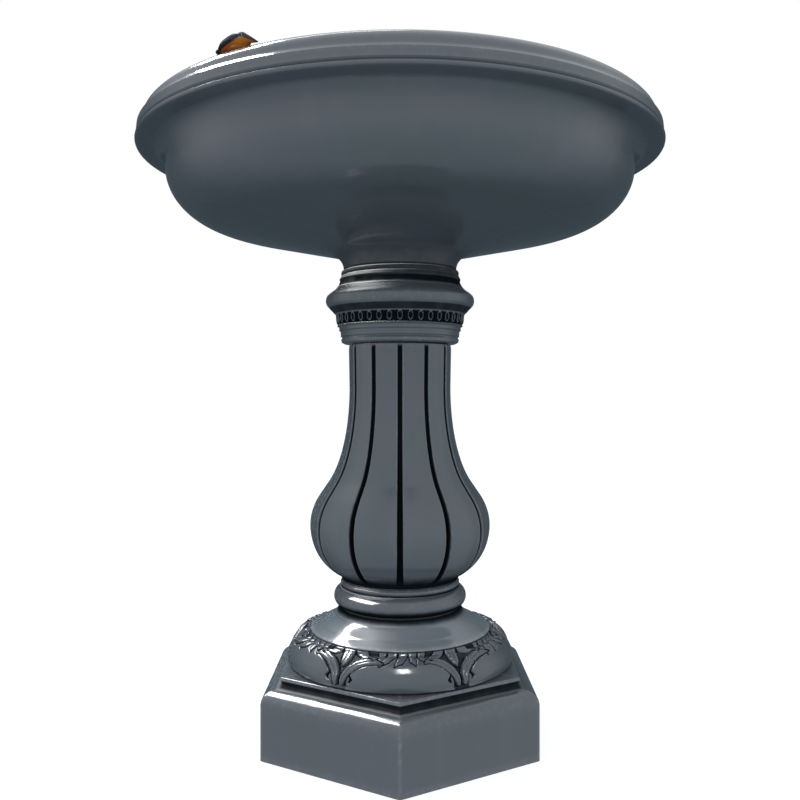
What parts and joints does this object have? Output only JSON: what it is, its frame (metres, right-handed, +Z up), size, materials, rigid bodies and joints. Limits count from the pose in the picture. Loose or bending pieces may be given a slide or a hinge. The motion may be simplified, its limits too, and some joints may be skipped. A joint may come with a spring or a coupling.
{
  "type": "bird bath",
  "caption": "Pedestal bird bath: wide lift-off basin with a moulded lip and drain, baluster shaft, leaf ring base and hollow hexagonal plinth.",
  "frame": {"origin": "centre of the plinth's foot, on the ground", "axes": "+Z up; -Y is the front, where one corner of the plinth and one groove of the shaft point"},
  "size_m": [0.609, 0.609, 0.7322],
  "materials": {
    "slate_paint": "gloss slate blue-grey paint on cast metal, dark in the crevices",
    "bird_paint": "hand-painted cast bird: orange breast, blue-grey back, black wings and tail",
    "rubber": "black moulded rubber, matt",
    "zinc_steel": "zinc-plated steel",
    "brass": "turned brass, lightly tarnished"
  },
  "bodies": {
    "pedestal": {"plinth": "slate_paint", "plinth_gasket": "rubber", "leaf_ring": "slate_paint", "base_dome": "slate_paint", "collar_gasket": "rubber", "collar_ring": "slate_paint", "shaft_gasket": "rubber", "shaft": "slate_paint", "capital_gasket": "rubber", "capital": "slate_paint", "basin_seat": "rubber", "tie_rod": "zinc_steel", "top_bridge": "zinc_steel", "top_washer": "zinc_steel", "top_nut": "zinc_steel", "bottom_bridge": "zinc_steel", "bottom_washer": "zinc_steel", "bottom_nut": "zinc_steel"},
    "basin": {"basin": "slate_paint", "drain_gasket": "rubber", "drain_flange": "brass", "drain_nut": "brass", "bird_ornament": "bird_paint", "bird_stud": "zinc_steel"},
    "plug": {"drain_plug": "brass", "plug_seal": "rubber"}
  },
  "joints": [
    {"name": "basin_lift", "type": "slide", "parent": "pedestal", "child": "basin", "axis": [0, 0, 1], "range_m": [0, 0.08]},
    {"name": "plug_pull", "type": "slide", "parent": "basin", "child": "plug", "axis": [0, 0, 1], "range_m": [0, 0.05]}
  ]
}
